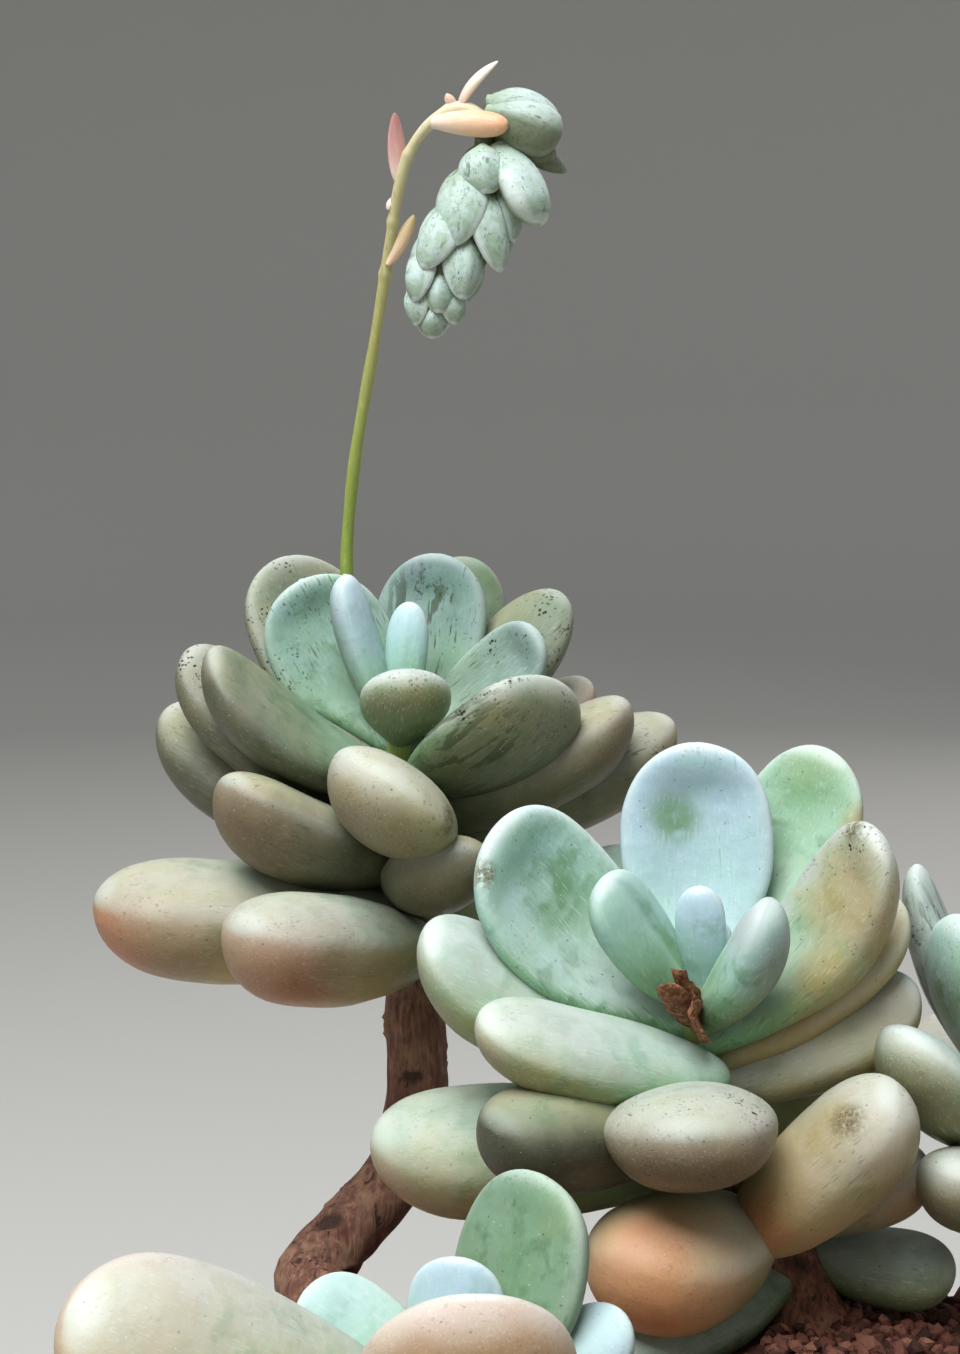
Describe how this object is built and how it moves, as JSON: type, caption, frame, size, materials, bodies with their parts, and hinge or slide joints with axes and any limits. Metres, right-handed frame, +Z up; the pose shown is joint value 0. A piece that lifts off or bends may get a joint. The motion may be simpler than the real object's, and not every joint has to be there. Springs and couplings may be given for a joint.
{
  "type": "potted succulent plant",
  "caption": "Potted moonstones: plump, powdery egg-shaped leaves in rosettes on woody stems, one nodding flower stalk, red grit and a round clay bowl.",
  "frame": {"origin": "centre of the pot's flat underside", "axes": "+Z up, +X to the plant's right as the picture shows it, +Y from its front to its back"},
  "size_m": [0.2018, 0.18, 0.3095],
  "materials": {
    "clay": "unglazed, matt",
    "grit": "rough red lava grit",
    "bark": "dry bark with leaf scars",
    "stalk": "smooth, fleshy, yellow-green",
    "buds": "powdery, fleshy scales",
    "tall_leaves": "powdery bloom over green flesh",
    "centre_leaves": "powdery bloom over green flesh",
    "side_leaves": "powdery bloom over green flesh",
    "front_leaves": "powdery bloom over green flesh, blushed"
  },
  "bodies": {
    "root": {"pot": "clay", "grit": "grit", "tall_stem": "bark", "centre_stem": "bark", "side_stem": "bark", "front_stem": "bark", "flower_stalk": "stalk", "bud_truss": "buds", "tall_leaf_01": "tall_leaves", "tall_leaf_02": "tall_leaves", "tall_leaf_03": "tall_leaves", "tall_leaf_04": "tall_leaves", "tall_leaf_05": "tall_leaves", "tall_leaf_06": "tall_leaves", "tall_leaf_07": "tall_leaves", "tall_leaf_08": "tall_leaves", "tall_leaf_09": "tall_leaves", "tall_leaf_10": "tall_leaves", "tall_leaf_11": "tall_leaves", "tall_leaf_12": "tall_leaves", "tall_leaf_13": "tall_leaves", "tall_leaf_14": "tall_leaves", "tall_leaf_15": "tall_leaves", "tall_leaf_16": "tall_leaves", "tall_leaf_17": "tall_leaves", "tall_leaf_18": "tall_leaves", "tall_leaf_19": "tall_leaves", "centre_leaf_01": "centre_leaves", "centre_leaf_02": "centre_leaves", "centre_leaf_03": "centre_leaves", "centre_leaf_04": "centre_leaves", "centre_leaf_05": "centre_leaves", "centre_leaf_06": "centre_leaves", "centre_leaf_07": "centre_leaves", "centre_leaf_08": "centre_leaves", "centre_leaf_09": "centre_leaves", "centre_leaf_10": "centre_leaves", "centre_leaf_11": "centre_leaves", "centre_leaf_12": "centre_leaves", "centre_leaf_13": "centre_leaves", "centre_leaf_14": "centre_leaves", "centre_leaf_15": "centre_leaves", "centre_leaf_16": "centre_leaves", "centre_leaf_17": "centre_leaves", "centre_leaf_18": "centre_leaves", "side_leaf_01": "side_leaves", "side_leaf_02": "side_leaves", "side_leaf_03": "side_leaves", "side_leaf_04": "side_leaves", "side_leaf_05": "side_leaves", "side_leaf_06": "side_leaves", "side_leaf_07": "side_leaves", "side_leaf_08": "side_leaves", "front_leaf_01": "front_leaves", "front_leaf_02": "front_leaves", "front_leaf_03": "front_leaves", "front_leaf_04": "front_leaves", "front_leaf_05": "front_leaves", "front_leaf_06": "front_leaves", "front_leaf_07": "front_leaves"}
  },
  "joints": []
}
